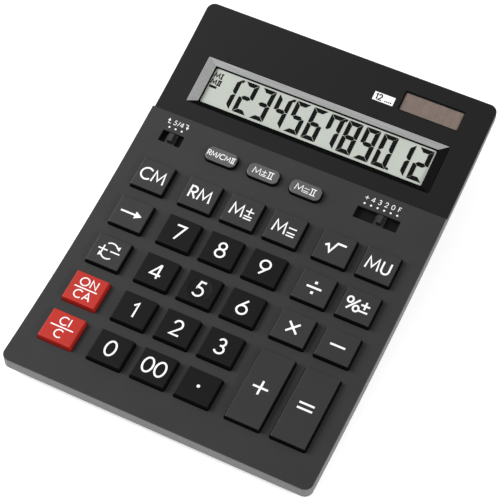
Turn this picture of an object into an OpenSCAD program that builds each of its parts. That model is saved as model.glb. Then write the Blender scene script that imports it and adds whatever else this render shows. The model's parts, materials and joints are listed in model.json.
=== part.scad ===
// Desk calculator with a curved keyboard, a sunken 12-digit display and a solar cell.
// Origin: middle of the footprint, on the desk. +X is the user's right, +Y runs from the
// user's edge towards the display, +Z is up. Millimetres.
//
// The top face is one arc about an axis parallel to X, far above the calculator. A place on
// the body is given by x, by s (the way along the arc from the front edge) and by the depth
// below the keyboard face. at(x, s, depth) moves there, with local +Z along the face's normal.

/* [Body] */
// Width of the top face
body_w = 140; // [139:0.5:142]
// Length of the top face, seen from above
body_l = 191.1; // [189:0.1:192]
// Radius of the curved top face
arc_r = 640; // [620:5:680]
// Height of the front edge of the top face above the desk
front_h = 10.2; // [10:0.1:11]
// Height of the grey side band
band_h = 5.7; // [4.9:0.1:6.2]
// Width of the fine grey edge around the dark panels
rim_t = 0.3; // [0.3:0.1:1.3]
// Radius of the corners of the top face
corner_r = 3.5; // [2.5:0.5:5]
// Way along the curve from the front edge to the display panel
seam_s = 136.1; // [136:0.1:137]
// Drop from the keyboard panel down to the display panel
panel_step = 2.4; // [2.2:0.1:2.4]
// Thickness of the keyboard and display panels
panel_t = 1.4; // [1.2:0.1:1.4]

/* [Base] */
// Thickness of the moulded walls of the lower case
wall_t = 1.4; // [1.2:0.1:1.6]
// Height of the underside above the desk
base_z = 1.6; // [1.2:0.1:1.6]
// Half width of the flat underside
base_half_w = 64.5; // [64:0.5:65.5]
// Front end of the flat underside, from the front edge
base_y0 = 4.5; // [4:0.5:5]
// Rear end of the flat underside, from the front edge
base_y1 = 177; // [176:0.5:178]
// How far the base widens from its underside to its top
base_spread = 2.5; // [2:0.5:3.5]
// Diameter of a rubber foot
foot_d = 9; // [7:0.5:10]

/* [Keys] */
// Width of a key at panel level
key_w = 15.8; // [15:0.1:16]
// Depth of a single key at panel level, front to back
key_d = 14.8; // [14:0.1:15]
// Height of a key above the panel
key_h = 2.5; // [2:0.1:3]
// Draw-in of each side of a key between the panel and the top
key_taper = 0.4; // [0.2:0.1:0.6]
// Gap between a key and its well
key_gap = 0.3; // [0.2:0.05:0.4]
// Travel of a key
key_travel = 1.5; // [1:0.1:1.5]
// Spacing of neighbouring key columns
col_pitch = 20.2; // [20:0.1:20.4]
// Spacing across the wider gap beside the first and the fifth column
wide_pitch = 23; // [22.8:0.1:23.2]
// Spacing of the key rows along the curve
row_pitch = 20.4; // [20.2:0.1:20.5]
// Way along the curve to the middle of the front row
first_row_s = 22.1; // [22:0.1:23]
// Length of a memory button
button_w = 14.8; // [13:0.1:15.2]
// Depth of a memory button, front to back
button_d = 7; // [6:0.1:7.4]
// Height of a memory button above the panel
button_h = 2; // [1.5:0.1:2.4]

/* [Slide switches] */
// Way along the curve to the middle of the switch slots
slot_s = 124.4; // [124:0.1:125]
// Front-to-back size of a slot
slot_d = 5.7; // [5.4:0.1:6]
// Length of the rounding switch's slot
round_slot_w = 10.6; // [10.4:0.1:11]
// Length of the decimal switch's slot
decimal_slot_w = 20; // [20:0.1:20.6]
// Spacing of the switch positions
detent_pitch = 3.03; // [3:0.01:3.05]
// Height of a slider's tab above the panel
tab_h = 0.8; // [0.4:0.1:1.2]

/* [Display] */
// Way along the curve to the middle of the display window
window_s = 156.9; // [156.5:0.1:157.2]
// Outer width of the window frame
window_w = 116.8; // [116:0.1:117]
// Outer depth of the window frame, front to back
window_d = 24; // [23.6:0.1:24.2]
// Width of the opening over the display glass
glass_w = 107.6; // [106:0.1:108.4]
// Depth of the opening over the display glass, front to back
glass_d = 18.6; // [18:0.1:19]
// Depth of the frame's slope
bevel_depth = 1.4; // [1:0.1:1.6]
// Way along the curve to the middle of the solar cell
solar_s = 181.3; // [181:0.1:181.6]
// Width of the solar cell's opening
solar_w = 28.4; // [26:0.1:29]
// Front-to-back size of the solar cell's opening
solar_d = 9.8; // [9:0.1:10]

/* [Hidden] */

$fn = 48;
arc_fn = 720;                      // facets of the large arcs
eps = 0.01;
fit = 0.05;                        // gap between pieces that sit in each other

// Places on the arc
half_w = body_w / 2;
front_y = -body_l / 2;
arc_end = body_l + 6;              // way along the arc to a place clear of the rear edge
arc_z = front_h + arc_r;
display_depth = panel_step;
solar_x = half_w - 26.25;
solar_cell_z = -0.9;               // top of the cell, below the display face
solar_cell_t = 1;

// Base, at the height where its drafted sides end
base_top_z = front_h + 24;
base_w = 2 * (base_half_w + base_spread);
base_d = base_y1 - base_y0 + 2 * base_spread;
base_corner_r = 9;

// Key stack, as depths below the keyboard face
flange_w = 0.7;
flange_t = 0.7;
flange_depth = panel_t + 0.15;
cap_wall = 1.1;
stem_d = 4;
stem_depth = flange_depth + flange_t + 0.55;
dome_top = stem_depth + key_travel + 0.25;
sheet_depth = dome_top + 0.6;
sheet_t = 0.6;
film_depth = sheet_depth + sheet_t;
film_t = 0.25;
plate_depth = film_depth + film_t;
plate_t = 0.8;
pad_s0 = 10.5;
pad_s1 = 131;
pad_half_w = 62.4;

// Columns count from the left, rows from the front
col_x = [
    -col_pitch * 1.5 - wide_pitch, -col_pitch * 1.5, -col_pitch / 2,
    col_pitch / 2, col_pitch / 2 + wide_pitch, col_pitch * 1.5 + wide_pitch
];
function key_x(col) = col_x[col];
function key_s(row) = first_row_s + row * row_pitch;
tall_d = key_d + row_pitch;
tall_s = (key_s(0) + key_s(1)) / 2;
button_s = key_s(5) + 0.1;
number_cols = [1, 2, 3];

// Slide switches: the slots' middles and the sliders' rest places
round_x = key_x(0) - 2.3;
round_slot_x = round_x + 0.3;
decimal_x = key_x(4) + 9.8;
decimal_rest_x = decimal_x + detent_pitch / 2;
decimal_slot_x = decimal_x + 0.2;
tab_w = 2.6;
tab_d = 4.2;
foot_w = 4.6;
slider_foot_d = 7.2;
slider_foot_t = 0.8;
tray_depth = panel_t + 0.1 + slider_foot_t + 0.1;
tray_t = 0.8;

// Display stack, as heights below the display face at the middle of the window
opening_z = -bevel_depth - 0.5;
lens_t = 0.8;
glass_z = opening_z - lens_t - fit;
glass_t = 1.2;
reflector_z = glass_z - glass_t;
reflector_t = 0.2;
board_z = -8;
board_t = 1.2;
board_w = 124.4;
board_y0 = -15;
board_y1 = 9.2;
board_screw_x = board_w / 2 - 1.8;
window_x = -0.4;
trim_t = 0.3;

// Fasteners
screw_d = 2;
screw_len = 5;
screw_head_d = 4;
screw_head_t = 1.5;
post_d = 6;
boss_d = 5;
boss_len = 2.4;
shelf_t = 1.6;
case_screw_places = [
    [-50, 9.5], [50, 9.5],
    [key_x(0) + wide_pitch / 2, key_s(2.5)], [key_x(3) + wide_pitch / 2, key_s(2.5)]
];
rear_screw_places = [[-50, 172.6], [22, 172.6]];
foot_places = [for (x = [-52, 52], y = [26, 164]) [x, front_y + y]];
pin_d = 1.4;
pin_len = 4.4;
pin_head_d = 2.7;
pin_head_t = 0.6;
pin_boss_d = 3;
plate_screw_places = [
    for (row = [0.5, 2.5, 4.5]) [key_x(1) + col_pitch / 2, key_s(row)],
    for (row = [1.5, 3.5, 4.5]) [key_x(4) + col_pitch / 2, key_s(row)]
];

// Battery bay, in the base under the display end of the keyboard
cell_d = 20;
cell_t = 3.2;
cell_x = 34;
cell_y = 112;
bay_w = 28;
bay_d = 34;
door_t = 1.2;
door_screw_y = bay_d / 2 - 3.2;
ledge_z = base_z + door_t + fit;   // underside of the ledge that the door rests against
ledge_t = 0.8;
leaf_t = 0.3;
leaf_z = ledge_z + ledge_t + fit;
leaf_rise = 0.5;
cell_z = leaf_z + leaf_rise + leaf_t + fit;

// Angle in degrees of a way s along the arc
function deg(s) = s / arc_r * 180 / PI;
// Height of the keyboard face above the desk at s, less a depth
function face_z(s, depth = 0) = arc_z - (arc_r + depth) * cos(deg(s));
// Place of s along Y
function face_y(s, depth = 0) = front_y + (arc_r + depth) * sin(deg(s));

// ---- Helpers ----------------------------------------------------------------------------

// Moves to a place on the body, with local +Z along the face's normal
module at(x, s, depth = 0) {
    translate([0, front_y, arc_z])
        rotate([deg(s), 0, 0])
            translate([x, 0, -arc_r - depth])
                children();
}

// Sweeps a drawing of (radius, x) along the arc between two places
module sweep(s0, s1) {
    translate([0, front_y, arc_z])
        rotate([0, 90, 0])
            rotate([0, 0, deg(s0)])
                rotate_extrude(angle = deg(s1 - s0), $fn = arc_fn)
                    children();
}

// Curved sheet between two depths
module arc_sheet(depth0, depth1, s0, s1, half) {
    sweep(s0, s1)
        translate([arc_r + depth0, -half])
            square([depth1 - depth0, 2 * half]);
}

// Everything above a depth, across the whole body
module above_arc(depth) {
    translate([0, front_y, arc_z])
        rotate([0, 90, 0])
            cylinder(r = arc_r + depth, h = 2 * body_w, center = true, $fn = arc_fn);
}

// Flat outline with round corners
module round_rect(w, d, r) {
    square([w - 2 * r, d], center = true);
    square([w, d - 2 * r], center = true);
    for (x = [-1, 1], y = [-1, 1])
        translate([x * (w / 2 - r), y * (d / 2 - r)])
            circle(r);
}

module round_block(w, d, r, h) {
    linear_extrude(h)
        round_rect(w, d, r);
}

// Block with round corners whose four sides draw in by inset over its height
module tapered_block(w, d, r, inset, h) {
    half_x = w / 2;
    half_y = d / 2;
    for (x = [-1, 1], y = [-1, 1])
        translate([x * (half_x - r), y * (half_y - r), 0])
            cylinder(r1 = r, r2 = r - inset, h = h);
    rotate([90, 0, 0])
        linear_extrude(d - 2 * r, center = true)
            polygon([[-half_x, 0], [half_x, 0], [half_x - inset, h], [inset - half_x, h]]);
    rotate([90, 0, 90])
        linear_extrude(w - 2 * r, center = true)
            polygon([[-half_y, 0], [half_y, 0], [half_y - inset, h], [inset - half_y, h]]);
}

// Flat-sided funnel, w0 x d0 at its top and w1 x d1 at depth h
module funnel(w0, d0, w1, d1, h) {
    intersection() {
        rotate([90, 0, 0])
            linear_extrude(2 * d0, center = true)
                polygon([[-w0 / 2, 0], [w0 / 2, 0], [w1 / 2, -h], [-w1 / 2, -h]]);
        rotate([90, 0, 90])
            linear_extrude(2 * w0, center = true)
                polygon([[-d0 / 2, 0], [d0 / 2, 0], [d1 / 2, -h], [-d1 / 2, -h]]);
    }
}

// Slab of the body between two depths, with its outline grown by grow
module slab(depth0, depth1, grow) {
    intersection() {
        arc_sheet(depth0, depth1, -4, arc_end, body_w);
        translate([0, front_y + body_l / 2, 0])
            round_block(body_w + 2 * grow, body_l + 2 * grow, corner_r + grow, 2 * body_w);
    }
}

// ---- Lower case -------------------------------------------------------------------------

// Moves to the middle of the base, at the height where its drafted sides end
module base_place() {
    translate([0, front_y + (base_y0 + base_y1) / 2, base_top_z])
        children();
}

// Outside of the base, from its underside up
module base_block() {
    base_place()
        mirror([0, 0, 1])
            tapered_block(base_w, base_d, base_corner_r, base_spread, base_top_z - base_z);
}

// Inside of the base, with a flat across each corner
module base_hollow() {
    h = base_top_z - base_z - wall_t;
    w = base_w - 2 * wall_t;
    d = base_d - 2 * wall_t;
    draw_in = 2 * base_spread * h / (base_top_z - base_z);
    across = (base_w + base_d) / 2 - 2 * base_corner_r
        + (base_corner_r - base_spread - wall_t) * sqrt(2);
    base_place()
        intersection() {
            funnel(w, d, w - draw_in, d - draw_in, h);
            rotate([0, 0, 45])
                cube([across * sqrt(2), across * sqrt(2), 3 * base_top_z], center = true);
        }
}

module vertical_hole(place, depth_under, z0, d, h) {
    translate([place[0], face_y(place[1], depth_under), z0])
        cylinder(d = d, h = h);
}

// Height at which a post of the lower case meets a panel's boss
function joint_z(place, depth) = face_z(place[1], depth + panel_t) - boss_len;

module post(place, depth) {
    vertical_hole(place, depth, base_z + 0.5, post_d, joint_z(place, depth) - base_z - 0.5);
}

module post_bore(place, depth) {
    seat_z = joint_z(place, depth) - shelf_t;
    vertical_hole(place, depth, base_z - 1, screw_head_d + 0.6, seat_z - base_z + 1);
    vertical_hole(place, depth, seat_z - 1, screw_d + 0.3, shelf_t + 2);
}

module bay_place() {
    translate([cell_x, front_y + cell_y, 0])
        children();
}

module lower_case() {
    color("dimgray")
    difference() {
        union() {
            difference() {
                union() {
                    slab(0, band_h, rim_t);
                    difference() {
                        base_block();
                        above_arc(band_h - 0.5);
                    }
                }
                // Seats of the two panels
                slab(-1, panel_t, fit);
                arc_sheet(-1, display_depth, seam_s, arc_end, body_w);
                intersection() {
                    slab(0, display_depth + panel_t, fit);
                    arc_sheet(-1, band_h, seam_s, arc_end, body_w);
                }
                // Hollow under the keyboard panel
                arc_sheet(panel_t - eps, band_h - wall_t, 1.8, seam_s + 0.2, half_w - 1.8);
                difference() {
                    base_hollow();
                    above_arc(panel_t - eps);
                    arc_sheet(-1, display_depth + panel_t - eps, seam_s, arc_end, body_w);
                }
                // Pocket under the solar cell
                in_solar()
                    translate([0, 0, solar_cell_z - solar_cell_t - 0.1])
                        round_block(solar_w + 1, solar_d + 1, 0.5, 4);
            }
            for (place = case_screw_places)
                post(place, 0);
            for (place = rear_screw_places)
                post(place, display_depth);
            // Walls of the battery bay, its ledge for the door and its screw boss
            bay_place() {
                difference() {
                    translate([0, 0, base_z + 0.5])
                        round_block(bay_w + 2.4, bay_d + 2.4, 2.2, 6.5);
                    round_block(bay_w, bay_d, 1, 12);
                }
                difference() {
                    translate([0, 0, ledge_z])
                        round_block(bay_w + 1, bay_d + 1, 1, ledge_t);
                    round_block(bay_w - 3, bay_d - 3, 1, 12);
                }
                translate([0, door_screw_y, ledge_z])
                    cylinder(d = 4.4, h = 5);
            }
        }
        for (place = case_screw_places)
            post_bore(place, 0);
        for (place = rear_screw_places)
            post_bore(place, display_depth);
        for (place = foot_places)
            translate([place[0], place[1], base_z - 1])
                cylinder(d = foot_d + 2 * fit, h = 1.6);
        // Opening for the battery door, and the bore for its screw
        bay_place() {
            translate([0, 0, base_z - 1])
                round_block(bay_w, bay_d, 1, ledge_z - base_z + 1);
            translate([0, door_screw_y, base_z])
                cylinder(d = pin_d, h = pin_len + 1);
            difference() {
                translate([0, 0, ledge_z])
                    round_block(bay_w - 3, bay_d - 3, 1, wall_t);
                translate([0, door_screw_y, ledge_z - 1])
                    cylinder(d = 4.4, h = 5);
            }
        }
    }
}

// ---- Panels -----------------------------------------------------------------------------

module well(x, s, w, d, r) {
    at(x, s)
        translate([0, 0, -3])
            round_block(w + 2 * key_gap, d + 2 * key_gap, r, 6);
}

// Boss under a panel, square to the desk, that takes a case screw
module panel_boss(place, depth) {
    vertical_hole(place, depth, joint_z(place, depth), boss_d, boss_len + 0.8);
}

module panel_boss_bore(place, depth) {
    vertical_hole(place, depth, joint_z(place, depth) - 1, screw_d, screw_len - shelf_t + 1.1);
}

module keyboard_panel() {
    color([0.2, 0.2, 0.21])
    difference() {
        union() {
            difference() {
                slab(0, panel_t, 0);
                arc_sheet(-1, 3, seam_s - fit, arc_end + 1, body_w + 1);
            }
            // Skirt down to the display panel along the seam
            arc_sheet(panel_t - eps, panel_step - fit, seam_s - 1.2, seam_s - fit, half_w - 1.9);
            for (place = case_screw_places)
                panel_boss(place, 0);
            for (place = plate_screw_places)
                at(place[0], place[1], plate_depth - 0.02)
                    cylinder(d = pin_boss_d, h = plate_depth - panel_t + 0.5);
        }
        for (row = [0 : 4])
            well(key_x(0), key_s(row), key_w, key_d, 1);
        for (row = [0 : 4], col = number_cols)
            well(key_x(col), key_s(row), key_w, key_d, 1);
        for (row = [2 : 4], col = [4, 5])
            well(key_x(col), key_s(row), key_w, key_d, 1);
        for (col = [4, 5])
            well(key_x(col), tall_s, key_w, tall_d, 1);
        for (col = number_cols)
            well(key_x(col), button_s, button_w, button_d, 2.9);
        at(round_slot_x, slot_s)
            translate([0, 0, -3])
                round_block(round_slot_w, slot_d, 0.5, 6);
        at(decimal_slot_x, slot_s)
            translate([0, 0, -3])
                round_block(decimal_slot_w, slot_d, 0.5, 6);
        for (place = case_screw_places)
            panel_boss_bore(place, 0);
        for (place = plate_screw_places)
            at(place[0], place[1], plate_depth + 1)
                cylinder(d = pin_d, h = pin_len - plate_t + 1.1);
    }
}

module display_panel() {
    color([0.13, 0.13, 0.14])
    difference() {
        union() {
            intersection() {
                slab(display_depth, display_depth + panel_t, 0);
                arc_sheet(0, band_h, seam_s + fit, arc_end + 1, body_w + 1);
            }
            for (place = rear_screw_places)
                panel_boss(place, display_depth);
            // Bosses that carry the main board
            in_window()
                for (x = [-1, 1], y = [-1, 1])
                    translate([x * board_screw_x, board_screw_y(y), board_z])
                        cylinder(d = pin_boss_d, h = -board_z - panel_t + 0.4);
        }
        in_window()
            translate([0, 0, -4])
                round_block(window_w + 2 * fit, window_d + 2 * fit, 1, 6);
        in_solar()
            translate([0, 0, -4])
                round_block(solar_w, solar_d, 0.8, 6);
        for (place = rear_screw_places)
            panel_boss_bore(place, display_depth);
        in_window()
            for (x = [-1, 1], y = [-1, 1])
                translate([x * board_screw_x, board_screw_y(y), board_z - 1])
                    cylinder(d = pin_d, h = pin_len - board_t + 1.1);
    }
}

// ---- Display ----------------------------------------------------------------------------

// Moves to the middle of the display window, on the display face
module in_window() {
    at(window_x, window_s, display_depth)
        children();
}

module in_solar() {
    at(solar_x, solar_s, display_depth)
        children();
}

function board_screw_y(end) = (board_y0 + board_y1) / 2 + end * ((board_y1 - board_y0) / 2 - 2);

// L-shaped area over the left and rear slopes, with a mitre at each end
module trim_area() {
    far = 2 * window_w;
    translate([0, 0, -4])
        linear_extrude(6)
            polygon([
                [-far, -window_d], [-window_w / 2, -window_d / 2], [-glass_w / 2, -glass_d / 2],
                [-glass_w / 2, glass_d / 2], [glass_w / 2, glass_d / 2],
                [window_w / 2, window_d / 2], [window_w / 2, far], [-far, far]
            ]);
}

module slope_hollow(grow) {
    translate([0, 0, -grow])
        funnel(window_w - 0.4, window_d - 0.4, glass_w, glass_d, bevel_depth);
    translate([0, 0, -grow - eps])
        linear_extrude(4)
            square([window_w - 0.4, window_d - 0.4], center = true);
}

module window_bezel() {
    color([0.05, 0.05, 0.055])
    in_window()
        difference() {
            translate([0, 0, opening_z])
                round_block(window_w, window_d, 0.95, -opening_z - fit);
            slope_hollow(0);
            intersection() {
                slope_hollow(trim_t);
                trim_area();
            }
            translate([0, 0, -4])
                linear_extrude(6)
                    square([glass_w, glass_d], center = true);
        }
}

module window_trim() {
    color("silver")
    in_window()
        intersection() {
            difference() {
                slope_hollow(trim_t);
                slope_hollow(0);
                translate([0, 0, -4])
                    linear_extrude(6)
                        square([glass_w, glass_d], center = true);
                translate([0, 0, -fit])
                    linear_extrude(6)
                        square([window_w + 9, window_d + 9], center = true);
            }
            trim_area();
            translate([0, 0, -4])
                round_block(window_w, window_d, 0.95, 6);
        }
}

module window_lens() {
    color([0.8, 0.9, 0.9, 0.4])
    in_window()
        translate([0, 0, opening_z - lens_t])
            round_block(glass_w + 3, glass_d + 3, 0.6, lens_t);
}

module lcd_glass() {
    color([0.76, 0.8, 0.74])
    in_window()
        translate([0, -0.4, glass_z - glass_t])
            round_block(glass_w + 3.4, glass_d + 4, 0.3, glass_t);
}

module lcd_reflector() {
    color("lightgray")
    in_window()
        translate([0, 0.6, reflector_z - reflector_t])
            round_block(glass_w + 2, glass_d + 1, 0.3, reflector_t - fit);
}

module zebra_strip() {
    color("pink")
    in_window()
        translate([0, -10.9, board_z + fit])
            linear_extrude(reflector_z - board_z - 2 * fit)
                square([glass_w - 8, 1.8], center = true);
}

module main_board() {
    color("darkgreen")
    in_window()
        difference() {
            translate([-board_w / 2, board_y0, board_z - board_t])
                cube([board_w, board_y1 - board_y0, board_t]);
            for (x = [-1, 1], y = [-1, 1])
                translate([x * board_screw_x, board_screw_y(y), board_z - board_t - 1])
                    cylinder(d = pin_d + 0.2, h = board_t + 2);
        }
}

module driver_chip() {
    lead_pitch = 1;
    color([0.1, 0.1, 0.1])
    in_window()
        translate([-16, -2, board_z - board_t - 1.5]) {
            round_block(12, 12, 0.4, 1.3);
            for (turn = [0 : 3], i = [-4.5 : 4.5])
                rotate([0, 0, 90 * turn])
                    translate([i * lead_pitch - 0.2, 5.8, 0.6])
                        cube([0.4, 1.4, 0.9]);
        }
}

module solar_window() {
    color([0.8, 0.8, 0.8, 0.4])
    in_solar()
        translate([0, 0, solar_cell_z + fit])
            round_block(solar_w - 2 * fit, solar_d - 2 * fit, 0.7, 0.3);
}

module solar_cell() {
    color([0.4, 0.32, 0.28])
    in_solar()
        translate([0, 0, solar_cell_z - solar_cell_t])
            round_block(solar_w - 2 * fit, solar_d - 2 * fit, 0.7, solar_cell_t);
}

// Straight stretch of round wire between two points
module wire(from, to, d) {
    way = to - from;
    len = norm(way);
    translate(from)
        rotate([0, acos(way[2] / len), atan2(way[1], way[0])])
            cylinder(d = d, h = len, $fn = 24);
    translate(to)
        sphere(d = d + 0.1, $fn = 24);
}

// Two wires that drop from the cell, then run forward to the rear edge of the main board
module solar_leads() {
    lead_d = 0.8;
    color("firebrick")
    in_solar()
        for (x = [-4, 4]) {
            start = [x, -4.3, solar_cell_z - solar_cell_t - 0.03];
            knee = start - [0, 0, 3];
            landing = [x, -16.5, board_z + 0.7];
            wire(start, knee, lead_d);
            wire(knee, landing, lead_d);
        }
}

// ---- Keypad -----------------------------------------------------------------------------

module key_places() {
    for (row = [0 : 4], col = [0 : 3])
        at(key_x(col), key_s(row), sheet_depth)
            children();
    for (row = [2 : 4], col = [4, 5])
        at(key_x(col), key_s(row), sheet_depth)
            children();
    for (col = [4, 5])
        at(key_x(col), tall_s, sheet_depth)
            children();
}

// Clearance holes that let the posts and bosses through a sheet of the keypad
module keypad_holes(pin_hole_d) {
    for (place = case_screw_places)
        vertical_hole(place, 0, 0, post_d + 1, 40);
    for (place = plate_screw_places)
        at(place[0], place[1], 12)
            cylinder(d = pin_hole_d, h = 12);
}

module dome_sheet() {
    color("lightslategray")
    difference() {
        union() {
            arc_sheet(sheet_depth, sheet_depth + sheet_t, pad_s0, pad_s1, pad_half_w);
            key_places()
                translate([0, 0, -eps])
                    cylinder(d1 = 8.4, d2 = 5, h = sheet_depth - dome_top);
            for (col = number_cols)
                at(key_x(col), button_s, sheet_depth)
                    translate([0, 0, -eps])
                        cylinder(d1 = 6, d2 = 4, h = sheet_depth - dome_top);
        }
        keypad_holes(pin_boss_d + 0.6);
    }
}

module key_film() {
    color("khaki")
    difference() {
        arc_sheet(film_depth, film_depth + film_t - fit, pad_s0, pad_s1, pad_half_w);
        keypad_holes(pin_boss_d + 0.6);
    }
}

module keypad_plate() {
    color("gray")
    difference() {
        arc_sheet(plate_depth, plate_depth + plate_t, pad_s0, pad_s1, pad_half_w - 0.5);
        keypad_holes(pin_d + 0.2);
    }
}

// Film tail that joins the keypad's film to the main board
module flat_cable() {
    tail_t = 0.2;
    board_depth = display_depth - board_z;
    foot_s = window_s + board_y0 + 3;
    yz = function (s, depth) [face_y(s, depth), face_z(s, depth)];
    start = yz(pad_s1 + fit, film_depth);
    bend = yz(pad_s1 + 3, film_depth);
    landing = yz(foot_s - 3.4, board_depth) + [0, 0.55];
    finish = yz(foot_s, board_depth) + [0, 0.4];
    color("orange")
    translate([-34, 0, 0])
        rotate([90, 0, 90])
            linear_extrude(36)
                polygon([
                    start, bend, landing, finish,
                    finish - [0, tail_t], landing - [0.15, tail_t],
                    bend - [0.15, tail_t], start - [0, tail_t]
                ]);
}

// Key cap: a hollow cap with a retaining flange under the panel and a stem over its dome
module cap(w, d, r, h, inset, stem_w) {
    foot = flange_depth + flange_t;
    difference() {
        union() {
            tapered_block(w, d, r, inset, h);
            translate([0, 0, -foot])
                round_block(w, d, r, foot + eps);
            translate([0, 0, -foot])
                round_block(w + 2 * flange_w, d + 2 * flange_w, r + 0.4, flange_t);
        }
        translate([0, 0, -foot - 1])
            round_block(w - 2 * cap_wall, d - 2 * cap_wall, 0.5, foot + h - cap_wall);
    }
    translate([-stem_w / 2, -stem_d / 2, -stem_depth])
        cube([stem_w, stem_d, stem_depth + h - cap_wall + 0.2]);
}

module single_key(col, row) {
    at(key_x(col), key_s(row))
        cap(key_w, key_d, 0.7, key_h, key_taper, stem_d);
}

module tall_key(col) {
    at(key_x(col), tall_s)
        cap(key_w, tall_d, 0.7, key_h, key_taper, stem_d);
}

module function_key(col, row) {
    color([0.24, 0.24, 0.25])
    single_key(col, row);
}

module number_key(col, row) {
    color([0.14, 0.14, 0.15])
    single_key(col, row);
}

module clear_key(row) {
    color([0.78, 0.2, 0.15])
    single_key(0, row);
}

module memory_button(col) {
    color([0.4, 0.4, 0.41])
    at(key_x(col), button_s)
        cap(button_w, button_d, 2.7, button_h, 0.2, stem_d);
}

module key_clear_entry() { clear_key(0); }
module key_clear_all() { clear_key(1); }
module key_exchange() { function_key(0, 2); }
module key_backspace() { function_key(0, 3); }
module key_memory_clear() { function_key(0, 4); }

module key_0() { number_key(1, 0); }
module key_00() { number_key(2, 0); }
module key_point() { number_key(3, 0); }
module key_1() { number_key(1, 1); }
module key_2() { number_key(2, 1); }
module key_3() { number_key(3, 1); }
module key_4() { number_key(1, 2); }
module key_6() { number_key(3, 2); }
module key_7() { number_key(1, 3); }
module key_8() { number_key(2, 3); }
module key_9() { number_key(3, 3); }

// The middle key has a shallow dish that the finger finds
module key_5() {
    dish_d = 10;
    dish_depth = 0.25;
    ball_r = (dish_d * dish_d / 4 + dish_depth * dish_depth) / (2 * dish_depth);
    color([0.14, 0.14, 0.15])
    difference() {
        single_key(2, 2);
        at(key_x(2), key_s(2))
            translate([0, 0, key_h - dish_depth + ball_r])
                sphere(r = ball_r, $fn = 200);
    }
}

module key_memory_recall() { function_key(1, 4); }
module key_memory_add() { function_key(2, 4); }
module key_memory_total() { function_key(3, 4); }
module key_root() { function_key(4, 4); }
module key_markup() { function_key(5, 4); }
module key_divide() { function_key(4, 3); }
module key_percent() { function_key(5, 3); }
module key_multiply() { function_key(4, 2); }
module key_minus() { function_key(5, 2); }

module key_plus() {
    color([0.24, 0.24, 0.25])
    tall_key(4);
}

module key_equals() {
    color([0.24, 0.24, 0.25])
    tall_key(5);
}

module button_recall_2() { memory_button(1); }
module button_add_2() { memory_button(2); }
module button_total_2() { memory_button(3); }

// ---- Slide switches ---------------------------------------------------------------------

// Slider: a tab that stands out of its slot, on a foot that the panel holds down
module slider(x) {
    foot_top = panel_t + 0.1;
    color([0.17, 0.17, 0.18])
    at(x, slot_s) {
        translate([0, 0.3, -foot_top - eps])
            tapered_block(tab_w, tab_d, 0.4, 0.25, foot_top + tab_h);
        translate([-foot_w / 2, -slider_foot_d / 2, -foot_top - slider_foot_t])
            cube([foot_w, slider_foot_d, slider_foot_t]);
    }
}

module rounding_slider() { slider(round_x); }
module decimal_slider() { slider(decimal_rest_x); }

// Trays that close the slots from below and carry the sliders' contacts
module switch_trays() {
    inner_d = slider_foot_d + 0.6;
    deep = tray_depth - panel_t;
    color([0.12, 0.12, 0.13])
    for (place = [[round_slot_x, round_slot_w], [decimal_slot_x, decimal_slot_w]])
        at(place[0], slot_s, tray_depth + tray_t)
            difference() {
                round_block(place[1] + 7, inner_d + 1.6, 0.8, deep + tray_t - fit);
                translate([0, 0, tray_t])
                    round_block(place[1] + 5.4, inner_d, 0.3, deep + 1);
            }
}

// ---- Battery, feet and fasteners --------------------------------------------------------

module battery_door() {
    ridge_pitch = 1.8;
    color("dimgray")
    bay_place()
        difference() {
            union() {
                translate([0, 0, base_z])
                    round_block(bay_w - 0.3, bay_d - 0.3, 0.9, door_t);
                // Finger ridges
                for (i = [-3 : 3])
                    translate([-6, i * ridge_pitch - 6, base_z - 0.25])
                        cube([12, 0.7, 0.5]);
            }
            translate([0, door_screw_y, base_z - 1])
                cylinder(d = pin_d + 0.2, h = door_t + 2);
            translate([0, door_screw_y, base_z - 1])
                cylinder(d = pin_head_d + 0.3, h = 1 + pin_head_t);
        }
}

module button_cell() {
    color("silver")
    bay_place()
        translate([0, -3, cell_z]) {
            cylinder(d = cell_d - 2.4, h = 0.6);
            translate([0, 0, 0.5])
                cylinder(d = cell_d, h = cell_t - 0.5);
        }
}

// Clip over the top of the cell, with a tail up the bay's wall
module battery_plus_clip() {
    color("gold")
    bay_place()
        translate([-3, -bay_d / 2 + 0.3, cell_z + cell_t + fit]) {
            cube([6, 22, leaf_t]);
            cube([6, leaf_t, 2]);
        }
}

// Leaf spring on the ledge that presses on the cell's underside
module battery_minus_spring() {
    color("gold")
    bay_place()
        translate([-3, -bay_d / 2 + 0.3, leaf_z]) {
            cube([6, 9, leaf_t]);
            translate([0, 9 - leaf_t, 0])
                cube([6, leaf_t, leaf_rise + leaf_t]);
            translate([0, 9 - leaf_t, leaf_rise])
                cube([6, 6, leaf_t]);
        }
}

module screw(d, len, head_d, head_t) {
    difference() {
        union() {
            translate([0, 0, -head_t])
                cylinder(d = head_d, h = head_t);
            translate([0, 0, -eps])
                cylinder(d = d, h = len);
        }
        // Cross recess
        for (turn = [0, 90])
            rotate([0, 0, turn])
                translate([-head_d * 0.32, -head_d * 0.07, -head_t - 1])
                    cube([head_d * 0.64, head_d * 0.14, 1 + head_t * 0.55]);
    }
}

module case_screws() {
    color("silver") {
        for (place = case_screw_places)
            translate([place[0], face_y(place[1]), joint_z(place, 0) - shelf_t])
                screw(screw_d, screw_len, screw_head_d, screw_head_t);
        for (place = rear_screw_places)
            translate([
                place[0], face_y(place[1], display_depth), joint_z(place, display_depth) - shelf_t
            ])
                screw(screw_d, screw_len, screw_head_d, screw_head_t);
    }
}

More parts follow.
